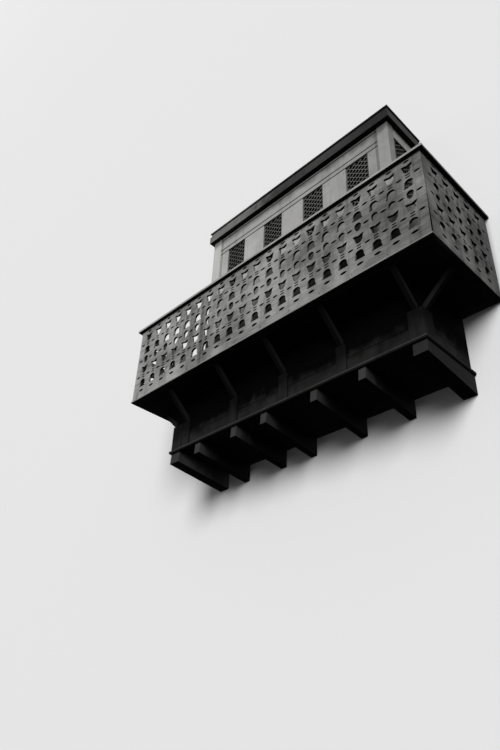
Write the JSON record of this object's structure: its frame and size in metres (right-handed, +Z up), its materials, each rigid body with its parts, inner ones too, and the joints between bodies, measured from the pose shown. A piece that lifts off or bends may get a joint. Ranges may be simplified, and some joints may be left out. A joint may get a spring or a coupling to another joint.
{
  "type": "lattice bay window with fretted gallery",
  "caption": "Wooden bay of lattice windows on corbels, with a fretted gallery on slanting struts round it and a stepped cornice, open at the back to the wall that holds it",
  "frame": {"origin": "on the back face of the wall beam, at the middle of its length and height, where the deck meets the wall", "axes": "+X along the wall to the right as seen from the street, +Y into the wall, +Z up"},
  "size_m": [4.03, 1.16, 3.5],
  "materials": {
    "pale_boards": "weathered painted boards, dry and chalky",
    "fretted_boards": "weathered sawn boards, dull",
    "lattice_bars": "weathered thin bars, dull",
    "grey_mouldings": "dirty weathered timber, dull",
    "dark_boards": "sooty dark timber, dull",
    "dark_timbers": "dark worn timber, dull"
  },
  "bodies": {
    "root": {"corner_posts": "pale_boards", "wall_posts": "pale_boards", "sills": "pale_boards", "front_boards": "pale_boards", "front_aprons": "pale_boards", "side_boards": "pale_boards", "side_aprons": "pale_boards", "front_lintel": "pale_boards", "side_lintels": "pale_boards", "front_parapet": "fretted_boards", "left_parapet": "fretted_boards", "right_parapet": "fretted_boards", "front_foot_batten": "fretted_boards", "side_foot_battens": "fretted_boards", "front_handrail": "fretted_boards", "side_handrails": "fretted_boards", "gallery_posts": "fretted_boards", "lattice_1": "lattice_bars", "lattice_2": "lattice_bars", "lattice_3": "lattice_bars", "lattice_4": "lattice_bars", "left_lattice": "lattice_bars", "right_lattice": "lattice_bars", "front_cornice": "grey_mouldings", "side_cornices": "grey_mouldings", "top_boards": "grey_mouldings", "front_frieze": "dark_boards", "side_friezes": "dark_boards", "base_soffit": "dark_boards", "deck_soffit": "dark_boards", "deck_floor": "dark_boards", "wall_beam": "dark_boards", "front_edge_beam": "dark_boards", "side_edge_beams": "dark_boards", "corbels": "dark_timbers", "front_struts": "dark_timbers", "side_struts": "dark_timbers", "pilasters": "dark_timbers", "front_ledge": "dark_timbers", "side_ledges": "dark_timbers"}
  },
  "joints": []
}
